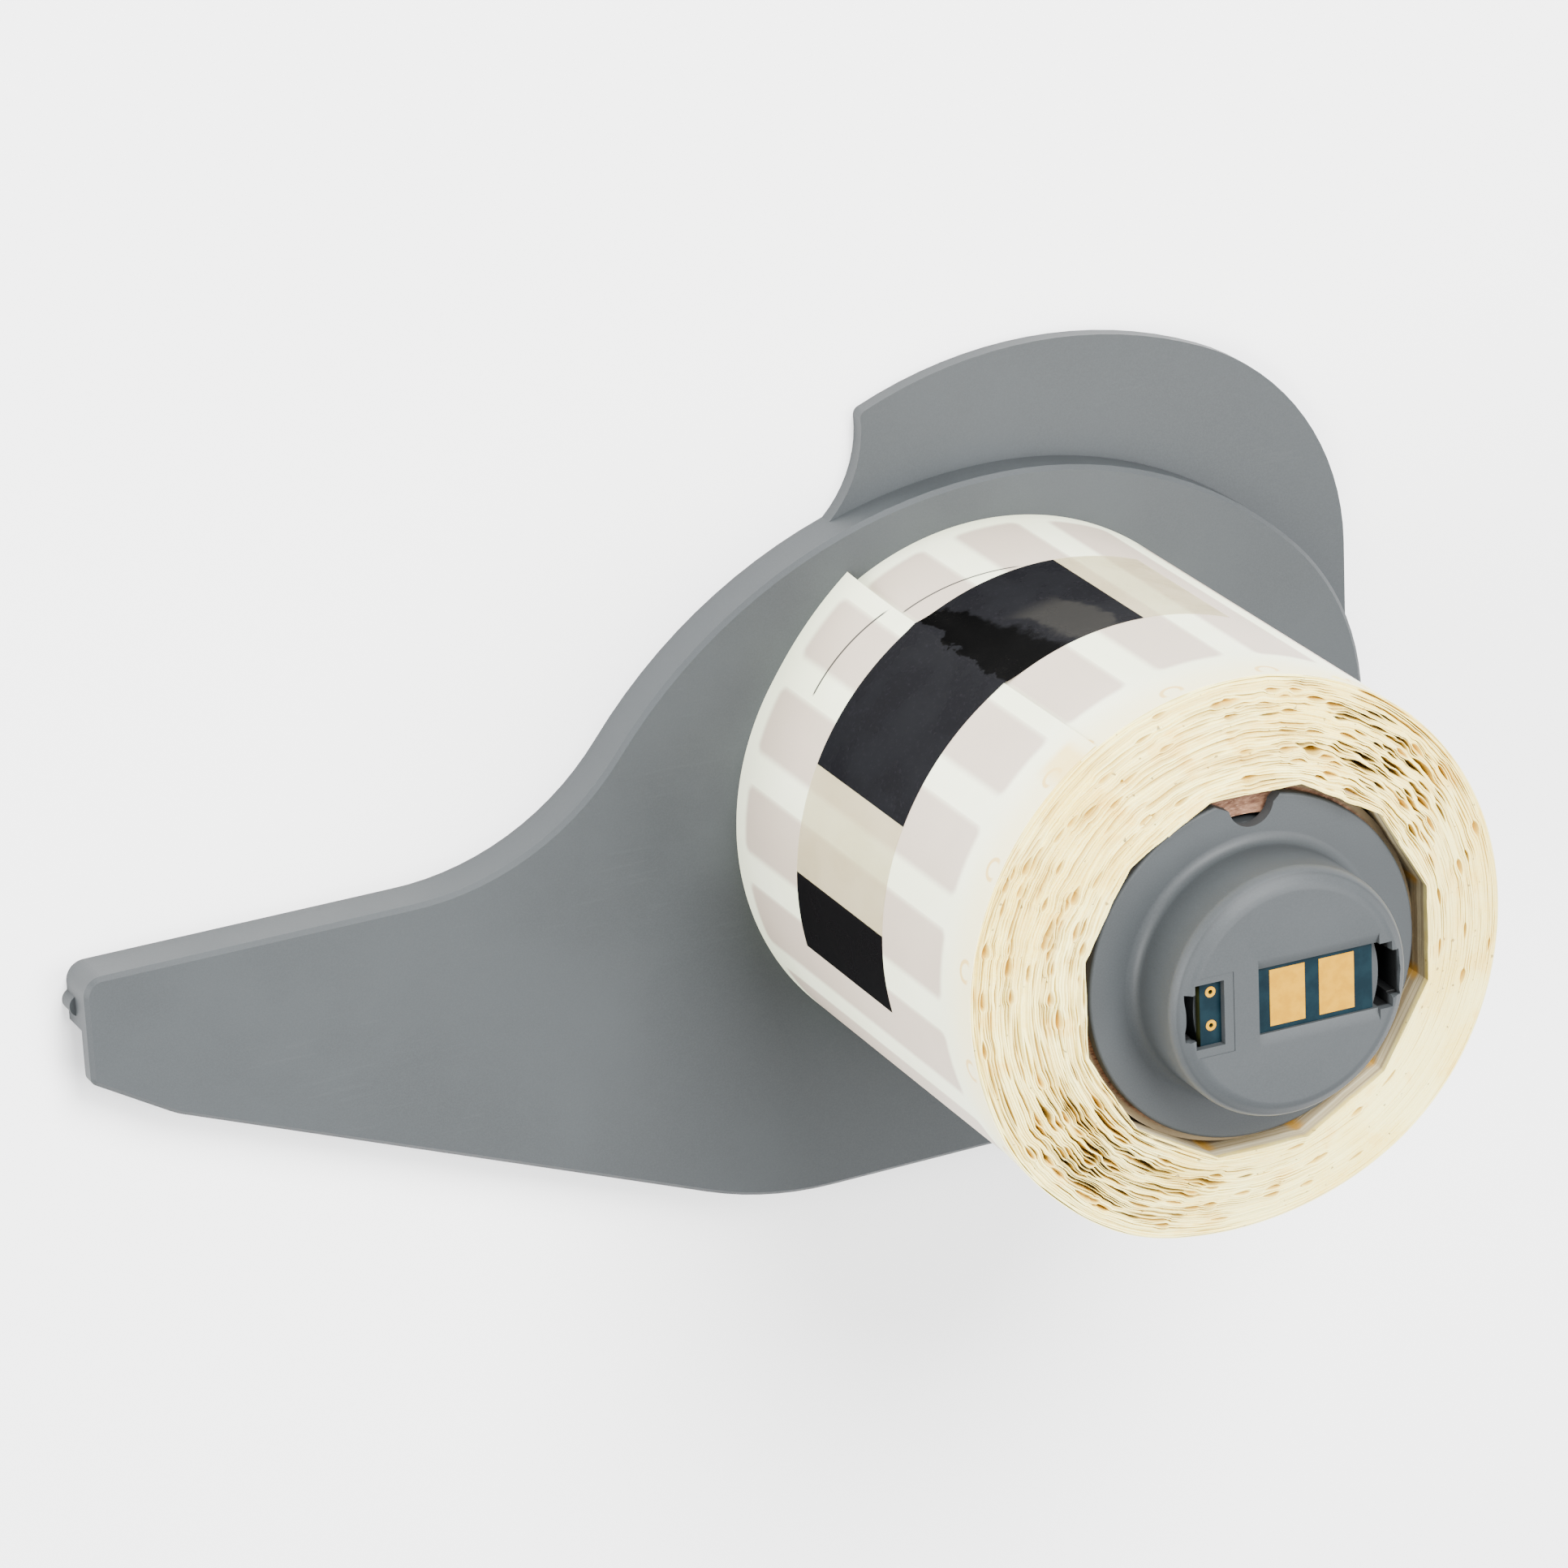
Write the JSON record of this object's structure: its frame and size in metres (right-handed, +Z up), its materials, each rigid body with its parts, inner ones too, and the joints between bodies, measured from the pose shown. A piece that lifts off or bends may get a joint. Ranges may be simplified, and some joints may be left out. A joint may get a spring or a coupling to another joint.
{
  "type": "printer label roll",
  "caption": "Roll of die-cut labels on a cardboard core that turns on a fixed hub between a tailed plastic side plate and an end cap with a contact board.",
  "frame": {"origin": "centre of the hub's open bore at the side plate's back plane", "axes": "+Z up the roll axis towards the end cap's nose, +X away from the side plate's tail, +Y towards its finger fin"},
  "size_m": [0.1623, 0.0974, 0.0795],
  "materials": {
    "grey_plastic": "satin",
    "board_resin": "satin",
    "gold_plating": "satin",
    "core_board": "matt",
    "strip_paper": "matt",
    "label_stock": "matt",
    "clear_tape": "gloss",
    "black_tape": "gloss"
  },
  "bodies": {
    "cartridge": {"side_plate": "grey_plastic", "end_cap": "grey_plastic", "memory_board": "board_resin", "contact_pad_near": "gold_plating", "contact_pad_far": "gold_plating", "plated_hole_upper": "gold_plating", "plated_hole_lower": "gold_plating"},
    "roll": {"cardboard_core": "core_board", "label_roll": "strip_paper", "outer_labels": "label_stock", "tape_clear": "clear_tape", "tape_black": "black_tape"}
  },
  "joints": [
    {"name": "roll_spin", "type": "hinge", "parent": "cartridge", "child": "roll", "pos_m": [0, 0, 0.0375], "axis": [0, 0, 1], "continuous": true}
  ]
}
